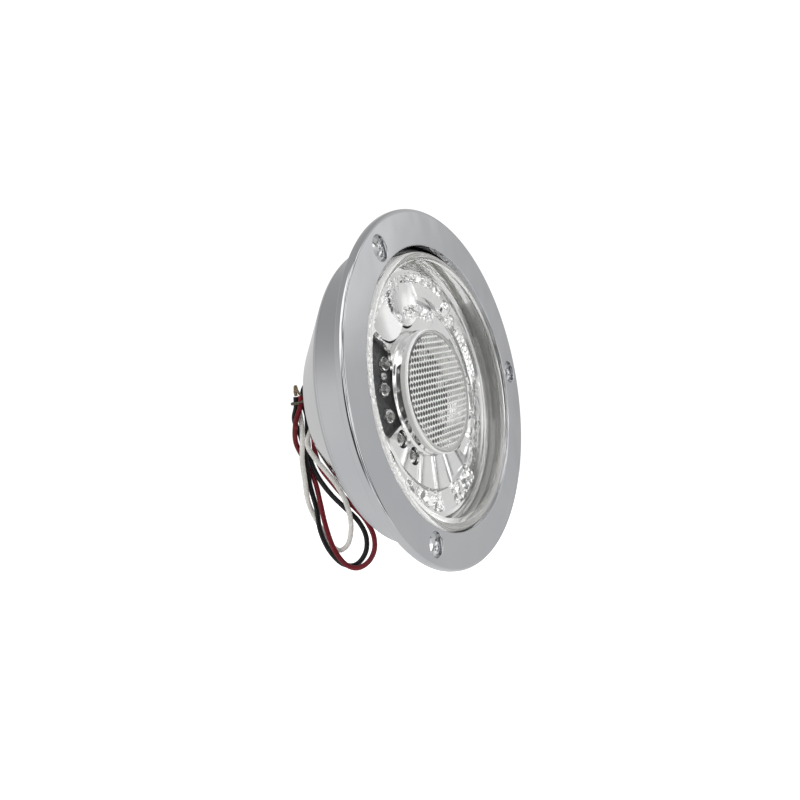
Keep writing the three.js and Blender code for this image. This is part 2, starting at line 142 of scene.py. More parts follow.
LEAD_ROUTES = {
    "black": [
        (-0.6, 43, 1.3), (-0.9, 47.3, 1.4), (-1.7, 51.4, 4.4), (-1.3, 55, 9.7), (0.3, 61, 12.1),
        (0.6, 65.6, 9.8), (0.4, 67.4, 4.4), (1.6, 67.5, -1.7), (2.3, 69.3, -8.3), (2.9, 70.6, -14),
        (2.5, 70.9, -20), (1.9, 68.5, -27.8), (1.6, 63.4, -36.2), (1, 56.7, -43.2), (1, 51.3, -49),
        (1, 48.6, -55.7), (1, 49.8, -62.1), (1.2, 54.2, -66.9), (1.4, 59.3, -68.6), (0.8, 64.4, -66.6),
        (0.5, 69, -60.3), (0, 71, -51.8), (-0.1, 70.6, -42.3), (-0.2, 71.6, -31.1), (-0.4, 70.8, -20.3),
        (0.2, 71.7, -10.8), (-2.4, 71.4, -2.7), (-2, 69.5, 2.6), (-1.9, 68.7, 6.9),
    ],
    "red": [
        (-0.6, 43, -1.5), (-0.5, 47.6, -1.4), (0.1, 51.9, 1), (0.2, 55, 6), (0.3, 58.9, 8.1),
        (0.4, 62.6, 7.1), (0.4, 64.7, 3.6), (-1, 64.3, -3), (-1.4, 63.8, -10), (-0.3, 65.4, -17.4),
        (-1.2, 63.3, -24.8), (-1, 58.6, -32.4), (-1, 54.2, -38.6), (-0.8, 50.2, -43.4),
        (-1, 45.8, -48.9), (-1, 43.4, -55.5), (-1, 44.4, -61.8), (-1, 48.8, -66.9), (-1.4, 54.9, -69),
        (-1.4, 60.6, -66.6), (-1.5, 64.6, -59.7), (-1.9, 66.2, -49.4), (-1.4, 67, -39.7),
        (2.2, 70.5, -30.1), (2, 73.8, -20.6), (-2, 73.3, -12.2), (-4.3, 69.7, -4.2), (-2.9, 66.9, 2),
        (-2, 65.9, 6.9),
    ],
    "white": [
        (2.1, 43, -0.1), (2.1, 47.5, 0), (2.9, 52.2, 2.5), (3, 55.7, 7.4), (3, 60.2, 9.5), (3, 64, 8.3),
        (2.9, 66, 4.4), (3.1, 65.1, -1.8), (0.9, 65.8, -7.5), (-2.5, 67, -13.4), (-3.5, 64.1, -19.4),
        (-3.5, 59.4, -26), (-3.5, 54.8, -33.2), (-3.7, 52.2, -39.9), (-3, 51.9, -46.4),
        (-1, 54.2, -52.8), (1, 58.4, -58.9), (2.3, 63.9, -61.8), (3.3, 68.4, -60.3), (3.1, 70.9, -55.3),
        (1.7, 73.2, -47.7), (-1.8, 73, -38.9), (-3.5, 71.2, -29.3), (-3.4, 70.7, -20.4),
        (-2, 69.8, -12.6), (-1.5, 68.8, -5.9), (0.5, 70.1, 0.6), (0.5, 70, 6.9),
    ],
}

LEAD_END_ROUTES = {
    "black": [(-1.9, 68.6, 7.3), (-1.7, 68.8, 9.2), (-1.1, 68.6, 11.6)],
    "red": [(-1.9, 66, 7.3), (-2.2, 66.9, 9.2), (-2.2, 67.6, 11.9)],
    "white": [(0.4, 69.9, 7.3), (0.2, 69.9, 9.2), (-0.3, 69.4, 11.3)],
}


def extended(points):
    """The points with one more at each end, straight on."""
    return [2 * points[0] - points[1], *points, 2 * points[-1] - points[-2]]


def make_lead(colour):
    """A round wire whose centre line runs smoothly through the route's points."""
    points = [Vector(point) * MM for point in LEAD_ROUTES[colour]]
    data = bpy.data.curves.new(f"lead_{colour}_wire", "CURVE")
    data.dimensions = "3D"
    data.bevel_depth = LEAD_DIAMETER / 2 * MM
    data.bevel_resolution = 5
    data.resolution_u = 10
    data.use_fill_caps = True
    spline = data.splines.new("BEZIER")
    spline.bezier_points.add(len(points) - 1)
    longer = extended(points)
    for i, bezier in enumerate(spline.bezier_points):
        reach = (longer[i + 2] - longer[i]) / 6
        bezier.handle_left_type = bezier.handle_right_type = "FREE"
        bezier.co = points[i]
        bezier.handle_left = points[i] - reach
        bezier.handle_right = points[i] + reach
    piece = bpy.data.objects.new(f"lead_{colour}_wire", data)
    bpy.context.collection.objects.link(piece)
    return piece


leads = {colour: make_lead(colour) for colour in LEAD_ROUTES}

# ---- material nodes

ACRYLIC_IOR = 1.49
EPOXY_IOR = 1.53


class Nodes:
    """The node tree of a material or a world, with short calls for adding to it."""

    def __init__(self, owner):
        owner.use_nodes = True
        self.tree = owner.node_tree

    def set(self, node, socket, value):
        target = node.inputs[socket]
        if isinstance(value, bpy.types.NodeSocket):
            self.tree.links.new(value, target)
        elif isinstance(value, (tuple, list)) and target.type == "RGBA" and len(value) == 3:
            target.default_value = (*value, 1)
        else:
            target.default_value = value

    def add(self, kind, inputs=None, **settings):
        node = self.tree.nodes.new(kind)
        for key, value in settings.items():
            setattr(node, key, value)
        for socket, value in (inputs or {}).items():
            self.set(node, socket, value)
        return node

    def spread(self, value, low, high, start=0.35, end=0.65, **settings):
        """Maps a value between start and end to the range low to high."""
        inputs = {"Value": value, "From Min": start, "From Max": end, "To Min": low, "To Max": high}
        return self.add("ShaderNodeMapRange", inputs, **settings).outputs["Result"]


class Finish(Nodes):
    """A node material; its places and texture scales are in millimetres."""

    def __init__(self, name, colour, roughness, metallic=0.0):
        self.material = bpy.data.materials.new(name)
        super().__init__(self.material)
        self.shader = self.last = self.tree.nodes["Principled BSDF"]
        self.set(self.shader, "Base Color", colour)
        self.set(self.shader, "Roughness", roughness)
        self.set(self.shader, "Metallic", metallic)
        inputs = {0: self.add("ShaderNodeTexCoord").outputs["Object"], 1: (1 / MM,) * 3}
        self.place = self.add("ShaderNodeVectorMath", inputs, operation="MULTIPLY").outputs[0]

    def radius(self):
        """Distance from the lamp's axis."""
        flat = self.add("ShaderNodeVectorMath", {0: self.place, 1: (1, 0, 1)}, operation="MULTIPLY")
        inputs = {0: flat.outputs[0]}
        return self.add("ShaderNodeVectorMath", inputs, operation="LENGTH").outputs["Value"]

    def depth(self):
        """The y of a place."""
        return self.add("ShaderNodeSeparateXYZ", {"Vector": self.place}).outputs["Y"]

    def computed(self, operation, first, second):
        return self.add("ShaderNodeMath", {0: first, 1: second}, operation=operation).outputs[0]

    def noise(self, scale, detail=3.0, stretch=(1, 1, 1)):
        placed = self.add("ShaderNodeVectorMath", {0: self.place, 1: stretch}, operation="MULTIPLY")
        inputs = {"Vector": placed.outputs[0], "Scale": scale, "Detail": detail}
        return self.add("ShaderNodeTexNoise", inputs).outputs["Fac"]

    def voronoi(self, scale, feature="F1"):
        inputs = {"Vector": self.place, "Scale": scale}
        return self.add("ShaderNodeTexVoronoi", inputs, feature=feature).outputs["Distance"]

    def mixed(self, factor, first, second):
        node = self.add("ShaderNodeMix", {"Factor": factor}, data_type="RGBA")
        self.set(node, 6, first)
        self.set(node, 7, second)
        return node.outputs[2]

    def colour(self, value):
        self.set(self.shader, "Base Color", value)

    def roughness(self, value):
        self.set(self.shader, "Roughness", value)

    def bump(self, *layers):
        """Bump from (height, distance in millimetres) layers, laid one on the other."""
        normal = None
        for height, distance in layers:
            inputs = {"Height": height, "Distance": distance * MM, "Strength": 1.0}
            node = self.add("ShaderNodeBump", inputs)
            if normal is not None:
                self.set(node, "Normal", normal)
            normal = node.outputs["Normal"]
        self.set(self.shader, "Normal", normal)

    def layered(self, factor, first, second):
        """Two shader nodes mixed by a factor."""
        mix = self.add("ShaderNodeMixShader", {0: factor})
        self.tree.links.new(first.outputs[0], mix.inputs[1])
        self.tree.links.new(second.outputs[0], mix.inputs[2])
        return mix

    def surface(self, shader):
        self.last = shader
        self.tree.links.new(shader.outputs[0], self.tree.nodes["Material Output"].inputs["Surface"])

    def shadows_pass(self):
        """Lets light through a clear material for shadow rays, as thin clear plastic does."""
        path = self.add("ShaderNodeLightPath")
        clear = self.add("ShaderNodeBsdfTransparent", {"Color": (0.94, 0.95, 0.94)})
        self.surface(self.layered(path.outputs["Is Shadow Ray"], self.last, clear))


def chrome_finish():
    """Chromium plating on moulded plastic: slight waviness, faint polishing haze."""
    finish = Finish("chrome", (0.55, 0.557, 0.575), 0.05, 1.0)
    haze = finish.noise(0.06, 5)
    finish.roughness(finish.spread(haze, 0.03, 0.085))
    tone = finish.noise(0.03, 2)
    finish.colour(finish.mixed(finish.spread(tone, 0, 1), (0.53, 0.538, 0.558), (0.57, 0.575, 0.588)))
    finish.bump((finish.noise(0.035, 2), 0.35), (finish.noise(0.9, 3), 0.0025))
    return finish.material


def metallised_finish():
    """Vacuum-metallised aluminium on the reflectors, with the mould's fine texture."""
    finish = Finish("metallised", (0.86, 0.865, 0.87), 0.08, 1.0)
    finish.roughness(finish.spread(finish.noise(0.25, 4), 0.05, 0.16))
    tone = finish.spread(finish.noise(0.12, 3), 0, 1)
    finish.colour(finish.mixed(tone, (0.92, 0.925, 0.93), (0.97, 0.97, 0.965)))
    finish.bump((finish.noise(0.5, 4), 0.02), (finish.noise(3, 2), 0.002))
    return finish.material


def clear_finish(name, tint, ior, roughness=0.0, clearness=1.0):
    """Clear moulded plastic, faintly tinted, with flow lines too slight to blur it."""
    finish = Finish(name, tint, roughness)
    finish.set(finish.shader, "Transmission Weight", clearness)
    finish.set(finish.shader, "IOR", ior)
    finish.roughness(finish.spread(finish.noise(0.15, 4), roughness, roughness + 0.025))
    finish.bump((finish.noise(0.12, 2), 0.03))
    return finish


def lens_finish():
    """Clear lens: its thin face only dims and glints, its slightly milky bead and wall bend the light."""
    bead_clearness, glint_share = 0.78, 0.3
    finish = clear_finish("lens_clear", (0.985, 0.98, 0.968), ACRYLIC_IOR)
    radius, depth = finish.radius(), finish.depth()
    milky = finish.spread(radius, 1, bead_clearness, LENS_FACE_RADIUS, LENS_FACE_RADIUS + 0.7)
    finish.set(finish.shader, "Transmission Weight", milky)
    thin_to, thick_from = LENS_FACE_RADIUS - 0.6, LENS_FACE_RADIUS + 1.3
    reach = finish.spread(depth, thin_to, thick_from, LENS.front + 1.5, LENS.front + 2.4)
    face = finish.computed("GREATER_THAN", reach, radius)
    through = finish.add("ShaderNodeBsdfTransparent", {"Color": (0.988, 0.988, 0.985)})
    glint = finish.add("ShaderNodeBsdfGlossy", {"Color": (1, 1, 1), "Roughness": 0.02})
    grazing = finish.add("ShaderNodeFresnel", {"IOR": ACRYLIC_IOR}).outputs[0]
    inside = finish.add("ShaderNodeNewGeometry").outputs["Backfacing"]
    share = finish.computed("MULTIPLY", grazing, finish.spread(inside, glint_share, 0, 0, 1))
    thin = finish.layered(share, through, glint)
    finish.surface(finish.layered(face, finish.shader, thin))
    finish.shadows_pass()
    return finish.material


def optic_finish():
    """Clear optic: the front only bends the light, the rim and the grooves between lenslets are milky and
    carry a painted white glow.
    """
    groove_painted_glow, rim_painted_glow, groove_clearness = 0.34, 0.22, 0.05
    finish = clear_finish("optic_clear", (0.97, 0.97, 0.965), ACRYLIC_IOR)
    radius, depth = finish.radius(), finish.depth()
    groove = finish.spread(depth, 1, 0, OPTIC.front + 1, OPTIC.front + 1.2)
    rim = finish.spread(radius, 0, 1, OPTIC.radius - 1.6, OPTIC.radius - 1.4)
    bright = finish.computed("MAXIMUM", groove, rim)
    finish.set(finish.shader, "Transmission Weight", finish.spread(bright, 1, groove_clearness, 0, 1))
    # Painted glow: white emission in the grooves and on the rim stands in for light they would reflect.
    finish.set(finish.shader, "Emission Color", (1, 1, 1))
    painted_glow = finish.computed("MULTIPLY", groove, finish.spread(rim, groove_painted_glow, rim_painted_glow, 0, 1))
    finish.set(finish.shader, "Emission Strength", painted_glow)
    front = finish.spread(depth, 1, 0, OPTIC.front + 0.02, OPTIC.front + 0.06)
    inputs = {"Color": (0.985, 0.985, 0.98), "IOR": ACRYLIC_IOR, "Roughness": 0.0}
    bend = finish.add("ShaderNodeBsdfRefraction", inputs)
    finish.surface(finish.layered(front, finish.shader, bend))
    finish.shadows_pass()
    return finish.material


def led_finish():
    """Clear epoxy with a slight milkiness."""
    finish = clear_finish("led_epoxy", (0.94, 0.945, 0.93), EPOXY_IOR, 0.03, 0.96)
    finish.shadows_pass()
    return finish.material


def board_finish():
    """Dark solder mask with printed tracks and fine grain, and painted shade: black inside the collar."""
    finish = Finish("board_mask", (0.05, 0.052, 0.055), 0.45)
    grain = finish.spread(finish.noise(1.5, 4), 0, 1)
    mask = finish.mixed(grain, (0.05, 0.051, 0.053), (0.08, 0.081, 0.084))
    tracks = finish.voronoi(0.22, "DISTANCE_TO_EDGE")
    raised = finish.spread(tracks, 1, 0, 0.03, 0.06)
    printed = finish.mixed(raised, mask, (0.11, 0.112, 0.116))
    # Painted shade: the board is painted black inside the collar, where shade falls under the optic.
    outside_painted_shade = finish.spread(finish.radius(), 0, 1, BOARD_PAINTED_SHADE_RADIUS, BOARD_PAINTED_SHADE_RADIUS + 0.4)
    finish.colour(finish.mixed(outside_painted_shade, (0.006, 0.006, 0.007), printed))
    finish.set(finish.shader, "Specular IOR Level", 0.3)
    finish.roughness(finish.spread(finish.noise(0.4, 3), 0.4, 0.6))
    finish.bump((raised, 0.03), (finish.noise(2.5, 2), 0.004))
    return finish.material


def plastic_finish(name, dark, light, roughness, grain=1.2, depth=0.01):
    """Moulded plastic, resin or ceramic: a fine-grained skin with slight colour variation."""
    finish = Finish(name, dark, roughness)
    finish.colour(finish.mixed(finish.spread(finish.noise(grain * 0.2, 4), 0, 1), dark, light))
    finish.roughness(finish.spread(finish.noise(grain * 0.5, 3), roughness - 0.08, roughness + 0.1))
    finish.bump((finish.noise(grain * 3, 3), depth))
    return finish.material


def insulation_finish(name, dark, light):
    """PVC wire insulation: satin, with scuffs and slight extrusion waves."""
    finish = Finish(name, dark, 0.35)
    scuffs = finish.spread(finish.noise(0.9, 5), 0, 1, 0.5, 0.8)
    shade = finish.mixed(finish.spread(finish.noise(0.15, 3), 0, 1), dark, light)
    scuffed = tuple(min(1, 1.25 * part + 0.01) for part in light)
    finish.colour(finish.mixed(scuffs, shade, scuffed))
    finish.roughness(finish.spread(finish.noise(0.6, 3), 0.28, 0.48))
    finish.set(finish.shader, "Specular IOR Level", 0.3)
    finish.bump((finish.noise(0.35, 2), 0.03), (finish.noise(4, 2), 0.004))
    return finish.material


def metal_finish(name, dark, light, roughness):
    """Bare or plated metal with handling marks."""
    finish = Finish(name, dark, roughness, 1.0)
    finish.colour(finish.mixed(finish.spread(finish.noise(0.8, 4), 0, 1), dark, light))
    finish.roughness(finish.spread(finish.noise(1.6, 3), roughness - 0.07, roughness + 0.12))
    finish.bump((finish.noise(5, 3), 0.004))
    return finish.material


def tie_finish():
    """Plastic-coated paper tie: fibrous, matt, olive brown."""
    finish = Finish("tie_paper", (0.12, 0.09, 0.045), 0.6)
    fibres = finish.spread(finish.noise(1.4, 5, (3, 3, 0.6)), 0, 1)
    finish.colour(finish.mixed(fibres, (0.05, 0.042, 0.03), (0.16, 0.135, 0.095)))
    finish.roughness(finish.spread(fibres, 0.45, 0.75))
    finish.bump((finish.noise(2.5, 4, (3, 3, 0.6)), 0.03))
    return finish.material


CHROME = chrome_finish()
METALLISED = metallised_finish()
LENS_CLEAR = lens_finish()
OPTIC_CLEAR = optic_finish()
LED_CLEAR = led_finish()
BOARD_MASK = board_finish()
BASE_PLASTIC = plastic_finish("base_plastic", (0.62, 0.61, 0.56), (0.72, 0.71, 0.66), 0.4)
RUBBER = plastic_finish("black_rubber", (0.012, 0.012, 0.013), (0.028, 0.028, 0.03), 0.6, 1.5, 0.02)
GASKET_RUBBER = plastic_finish(
    "gasket_rubber", (0.035, 0.036, 0.038), (0.07, 0.071, 0.075), 0.35, 1.5, 0.03
)
RESIN = plastic_finish("potting_resin", (0.018, 0.016, 0.013), (0.035, 0.031, 0.025), 0.3, 0.5, 0.03)
CERAMIC = plastic_finish("chip_ceramic", (0.01, 0.01, 0.011), (0.022, 0.022, 0.023), 0.4, 2.0)
STEEL = metal_finish("plated_steel", (0.5, 0.5, 0.5), (0.66, 0.66, 0.65), 0.28)
STRAND = metal_finish("bare_strand", (0.28, 0.21, 0.14), (0.46, 0.38, 0.27), 0.35)
TIE_PAPER = tie_finish()
INSULATION = {
    "black": insulation_finish("black_insulation", (0.004, 0.004, 0.005), (0.009, 0.009, 0.011)),
    "red": insulation_finish("red_insulation", (0.12, 0.0015, 0.007), (0.19, 0.003, 0.012)),
    "white": insulation_finish("white_insulation", (0.74, 0.73, 0.68), (0.84, 0.83, 0.79)),
}

# ---- mesh helpers

FILLET_STEPS = 5
SUPPORT = 0.15
SHARP_ANGLE = 35


def rounded(corners, loop=True):
    """An outline from (radius, y, fillet) corners, with an arc and a holding point at each fillet."""
    outline = []
    count = len(corners)
    for i, (radius, y, *fillet) in enumerate(corners):
        here = Vector((radius, y))
        if not fillet or (not loop and i in (0, count - 1)):
            outline.append(here)
            continue
        to_last = Vector(corners[i - 1][:2]) - here
        to_next = Vector(corners[(i + 1) % count][:2]) - here
        angle = to_last.angle(to_next)
        tangent = fillet[0] / math.tan(angle / 2)
        middle = (to_last.normalized() + to_next.normalized()).normalized()
        centre = here + middle * fillet[0] / math.sin(angle / 2)
        start = here + to_last.normalized() * tangent
        end = here + to_next.normalized() * tangent
        if to_last.length > tangent + 2 * SUPPORT:
            outline.append(start + to_last.normalized() * SUPPORT)
        for step in range(FILLET_STEPS + 1):
            part = step / FILLET_STEPS
            blended = (start - centre).lerp(end - centre, part)
            outline.append(centre + blended.normalized() * fillet[0])
        if to_next.length > tangent + 2 * SUPPORT:
            outline.append(end + to_next.normalized() * SUPPORT)
    return [tuple(point) for point in outline]


def add_piece(name, mesh, finish):
    piece = bpy.data.objects.new(name, mesh)
    bpy.context.collection.objects.link(piece)
    mesh.materials.clear()
    mesh.materials.append(finish)
    return piece


def smooth(mesh, degrees=SHARP_ANGLE):
    """Smooth shading with sharp edges where faces turn sharply or a flat end face begins."""
    flat = 0.99999
    mesh.shade_smooth()
    mesh.set_sharp_from_angle(angle=math.radians(degrees))
    work = bmesh.new()
    work.from_mesh(mesh)
    for edge in work.edges:
        ends = [abs(face.normal.y) > flat for face in edge.link_faces]
        if any(ends) and not all(ends):
            edge.smooth = False
    work.to_mesh(mesh)
    work.free()


def smooth_piece(name, mesh, finish, degrees=SHARP_ANGLE):
    smooth(mesh, degrees)
    return add_piece(name, mesh, finish)


def strip(here, there, count):
    """Four-sided faces between two rings of count vertices that start at here and there."""
    pairs = ((i, (i + 1) % count) for i in range(count))
    return [(here + i, here + j, there + j, there + i) for i, j in pairs]


def mesh_of(name, vertices, faces):
    """A mesh in metres from millimetre vertices, its faces pointing out."""
    mesh = bpy.data.meshes.new(name)
    mesh.from_pydata([tuple(Vector(vertex) * MM) for vertex in vertices], [], faces)
    work = bmesh.new()
    work.from_mesh(mesh)
    bmesh.ops.remove_doubles(work, verts=work.verts, dist=1e-7)
    bmesh.ops.recalc_face_normals(work, faces=work.faces)
    work.to_mesh(mesh)
    work.free()
    return mesh


def turned_mesh(name, outline, segments=192, x=0.0, z=0.0):
    """A closed (radius, y) outline turned about an axis along Y."""
    vertices, rings = [], []
    for radius, y in outline:
        if radius < 1e-6:
            rings.append([len(vertices)] * segments)
            vertices.append((x, y, z))
            continue
        rings.append(range(len(vertices), len(vertices) + segments))
        for i in range(segments):
            angle = TAU * i / segments
            vertices.append((x + radius * math.cos(angle), y, z + radius * math.sin(angle)))
    faces = []
    closed = outline[0][0] > 1e-6 or outline[-1][0] > 1e-6
    for k in range(len(rings) if closed else len(rings) - 1):
        here, there = rings[k], rings[(k + 1) % len(rings)]
        for i in range(segments):
            j = (i + 1) % segments
            corners = [here[i], here[j], there[j], there[i]]
            face = list(dict.fromkeys(corners))
            if len(face) > 2:
                faces.append(face)
    return mesh_of(name, vertices, faces)


def turned(name, corners, finish, segments=192, x=0.0, z=0.0, loop=True):
    mesh = turned_mesh(name, rounded(corners, loop), segments, x, z)
    return smooth_piece(name, mesh, finish)


def carve(piece, cutters):
    """Takes the cutter meshes, which don't touch each other, out of a piece for good."""
    work = bmesh.new()
    for mesh in cutters:
        work.from_mesh(mesh)
        bpy.data.meshes.remove(mesh)
    together = bpy.data.meshes.new("cutters")
    work.to_mesh(together)
    work.free()
    cutter = add_piece("cutter", together, piece.data.materials[0])
    modifier = piece.modifiers.new("carve", "BOOLEAN")
    modifier.object = cutter
    modifier.solver = "EXACT"
    with bpy.context.temp_override(object=piece, active_object=piece):
        bpy.ops.object.modifier_apply(modifier="carve")
    bpy.data.objects.remove(cutter)
    bpy.data.meshes.remove(together)
    smooth(piece.data)


def place_piece(piece, slot, *nodes):
    """Rides the piece on the lamp and hides the CAD nodes it stands for."""
    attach(piece, "root")
    if nodes:
        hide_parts(*nodes)
    return piece


# ---- housing


def make_bezel():
    """Flange with a short skirt, a rolled edge round the opening and three screw holes."""
    face, skirt_end = BEZEL.front, BEZEL.back
    inner = COVER.radius - CHROMED_WALL
    piece = turned("bezel", [
        (OPENING_RADIUS, face, 0.45),
        (BEZEL.radius, face, 1.5),
        (BEZEL.radius, 0, 0.3),
        (COVER.radius, 0, 0.35),
        (COVER.radius, skirt_end),
        (inner, skirt_end, 0.2),
        (inner, face + 4.2, 0.4),
        (OPENING_RADIUS, face + 3.4, 0.3),
    ], CHROME, 256)
    rim, rim_steps = 0.3, 6
    hole = [(0, face - 1), (SCREW_SINK_RADIUS + rim, face - 1)]
    for step in range(rim_steps + 1):
        turn = math.radians(90 * step / rim_steps)
        hole.append((
            SCREW_SINK_RADIUS + rim - rim * math.sin(turn),
            face + rim - rim * math.cos(turn),
        ))
    hole += [
        (SCREW_SINK_RADIUS, face + 1.6),
        (SCREW_HOLE_RADIUS + 0.2, face + 1.95),
        (SCREW_HOLE_RADIUS, face + 2.1),
        (SCREW_HOLE_RADIUS, 1),
        (0, 1),
    ]
    places = [on_circle(SCREW_CIRCLE_RADIUS, degrees) for degrees in SCREW_ANGLES]
    carve(piece, [turned_mesh("hole", hole, 64, x, z) for x, z in places])
    return place_piece(piece, "chrome_plating", "flange_bezel")


def make_cover():
    """Conical cap with a flat back, a hole for the grommet and a lip inside the skirt."""
    seam, play = 0.03, 0.3
    start, end, radius = BEZEL.back + seam, COVER.back, COVER.radius
    back_radius, back_wall, hole_radius = 34.6, 2, 6
    lip_outer = radius - CHROMED_WALL - play
    lip_inner = lip_outer - CHROMED_WALL
    piece = turned("cover", [
        (radius, start),
        (radius, start + 1.2, 2.2),
        (back_radius, end - 0.2, 3.2),
        (hole_radius, end, 0.2),
        (hole_radius, end - back_wall, 0.2),
        (back_radius - 3.2, end - back_wall, 2),
        (lip_inner, start + 0.8, 1),
        (lip_inner, COVER.front, 0.3),
        (lip_outer, COVER.front, 0.3),
        (lip_outer, start),
    ], CHROME, 256)
    return place_piece(piece, "chrome_plating", "rear_cover")


def make_grommet():
    """Rubber strain relief with a collar on each side of the cover's back."""
    wall_back = COVER.back
    bore, neck, inner_collar = 3.7, 5.7, 7.4
    piece = turned("grommet", [
        (bore, GROMMET.front, 0.3),
        (inner_collar, GROMMET.front, 0.5),
        (inner_collar, wall_back - 2.3, 0.2),
        (neck, wall_back - 2.3, 0.2),
        (neck, wall_back + 0.3, 0.2),
        (GROMMET.radius, wall_back + 0.3, 0.3),
        (GROMMET.radius, wall_back + 1.8, 0.7),
        (neck + 0.1, wall_back + 2.3, 0.8),
        (4.9, GROMMET.back, 0.4),
        (bore, GROMMET.back, 0.3),
    ], RUBBER, 96)
    return place_piece(piece, "black_rubber", "rear_grommet")


# ---- clear parts


def make_lens():
    """Clear cap: a slightly domed face, a raised round bead and a deep wall with two steps inside."""
    bead_radius, bead_sweep, bead_steps = 1.6, 158, 14
    bead_centre = LENS.radius - bead_radius
    face, inside = LENS.front + 0.9, LENS.front + 2.6
    outline = [(0, face - 0.3), (20, face - 0.27), (40, face - 0.1)]
    outline += [(LENS_FACE_RADIUS - 0.7, face), (LENS_FACE_RADIUS, face + 0.02)]
    for step in range(bead_steps + 1):
        turn = math.radians(bead_sweep - bead_sweep * step / bead_steps)
        outline.append((
            bead_centre + bead_radius * math.cos(turn),
            LENS.front + bead_radius * (1 - math.sin(turn)),
        ))
    outline += rounded([
        (LENS.radius, 0),
        (LENS.radius, LENS.back, 0.3),
        (LENS.radius - 1.9, LENS.back, 0.3),
        (LENS.radius - 1.9, LENS.front + 6.1, 0.2),
        (LENS.radius - 2.5, LENS.front + 5.8, 0.2),
        (LENS.radius - 2.5, LENS.front + 4.4, 0.2),
        (LENS.radius - 3, LENS.front + 4.1, 0.2),
        (LENS.radius - 3.1, inside, 0.5),
        (30, inside),
    ], loop=False)
    outline.append((0, inside))
    mesh = turned_mesh("lens_cap", outline, 256, LENS.x, LENS.z)
    return place_piece(smooth_piece("lens_cap", mesh, LENS_CLEAR), "clear_lens", "lens")


def make_gasket():
    """Rubber ring in the gap between the lens and the flange."""
    inner, outer = GASKET.radius - 1.5, GASKET.radius
    piece = turned("gasket", [
        (inner, GASKET.front + 0.3, 0.2),
        (inner + 0.7, GASKET.front, 0.3),
        (outer, GASKET.front + 0.3, 0.2),
        (outer, GASKET.back, 0.2),
        (inner, GASKET.back, 0.2),
    ], GASKET_RUBBER, 192, GASKET.x, GASKET.z)
    return place_piece(piece, "black_rubber", "lens_gasket")


def groove_depth(x, z):
    """Depth of the groove round the staggered round lenslets, 0 on their flat tops."""
    top_radius, slope = 0.8, 0.35
    nearest = np.full(x.shape, 9.0)
    row = np.round(z / LENSLET_ROWS)
    for offset in (-1, 0, 1):
        near = row + offset
        shift = np.where(np.mod(near, 2) == 0, 0.0, LENSLET_COLUMNS / 2)
        column = np.round((x - shift) / LENSLET_COLUMNS)
        distance = (x - shift - column * LENSLET_COLUMNS) ** 2 + (z - near * LENSLET_ROWS) ** 2
        nearest = np.minimum(nearest, distance)
    return LENSLET_HEIGHT * np.clip((np.sqrt(nearest) - top_radius) / slope, 0, 1)


def make_optic():
    """Clear disc: plain front, lenslets on the back and a short rim that stands on the collar."""
    segments, rings = 512, 115
    radius, rim_inner = OPTIC.radius, OPTIC.radius - 1.3
    front, back, rim_back = OPTIC.front, OPTIC.front + 0.7, OPTIC.back
    radii = np.linspace(0, rim_inner - 0.9, rings + 1)[1:]
    outline = rounded([
        (0, front),
        (radius, front, 0.5),
        (radius, rim_back, 0.2),
        (rim_inner, rim_back, 0.2),
        (rim_inner, back + 0.8, 0.15),
        (rim_inner - 0.7, back + 0.8),
    ], loop=False)
    outline += [(float(r), back) for r in radii[::-1]] + [(0, back)]
    mesh = turned_mesh("optic", outline, segments)
    points = np.empty(len(mesh.vertices) * 3)
    mesh.vertices.foreach_get("co", points)
    points = points.reshape(-1, 3) / MM
    bed = np.abs(points[:, 1] - back) < 0.01
    points[bed, 1] = back + LENSLET_HEIGHT - groove_depth(points[bed, 0], points[bed, 2])
    points[:, 0] += OPTIC.x
    points[:, 2] += OPTIC.z
    mesh.vertices.foreach_set("co", (points * MM).ravel())
    mesh.update()
    return place_piece(smooth_piece("optic", mesh, OPTIC_CLEAR, 60), "clear_optic", "centre_optic")


# ---- reflectors

Shell = namedtuple("Shell", "x z radius")
Knob = namedtuple("Knob", "x z radius height")
Patch = namedtuple("Patch", "inner outer start end size height")

SHELLS = (Shell(-21.7, 35.2, 13.0), Shell(-6.5, 37.5, 10.5))
SHELL_SLOT = (-118, -50)
KNOBS = (Knob(27.4, 32.5, 3.3, 1.6), Knob(30.7, 26.8, 2.7, 1.1), Knob(-12.1, 30.6, 2.0, 1.2))
PATCHES = (
    Patch(29.5, 35, 62, 104, 1.7, 0.7),
    Patch(43.5, 48, 56, 98, 2.6, 1.0),
    Patch(41.5, 47, 99, 121, 1.7, 0.6),
    Patch(38.5, 46.5, 226, 264, 2.6, 1.2),
    Patch(38.5, 46.5, 276, 304, 2.0, 0.9),
    Patch(42, 49, 122, 224, 1.7, 0.28),
    Patch(37, 44.5, 306, 360, 1.7, 0.08),
    Patch(37, 44.5, 0, 36, 1.7, 0.1),
)
FACET_SEED = 5
TOP_PROFILE = (
    (25, 9.6), (29.5, 8.9), (34.5, 8.4), (37, 9.2), (40, 9.5), (41, 9.0), (44, 8.3), (47, 8.3), (48.5, 7.9)
)
BOTTOM_PROFILE = ((37.5, 8.0), (38.5, 9.3), (44, 8.8), (47, 8.3), (48.5, 7.9))
PANEL_SWEEP, PANEL_DEPTH, PANEL_RIDGE, PANEL_OUTER = 20, 9.7, 0.75, 37.5
SHELL_DEPTH, SHELL_DISH, SHELL_EDGE = 7.9, 1.3, 0.5
DEEPEST = 10.2
WINDOW_INNER_X = -22.2
WINDOW_EDGE = (
    (141, 41), (143, 42.3), (150, 41.3), (165, 39.8), (180, 39.3), (190, 39), (197, 38.2), (200, 36.5)
)
RIGHT_WINDOW_RADII = (20, 33)
RIGHT_WINDOW_ANGLES = range(340, 400, 3)
NOTCH = ((204, 38.9, 39.1), (206, 38.5, 39.9), (210, 38.5, 39.9), (212, 38.9, 39.1))


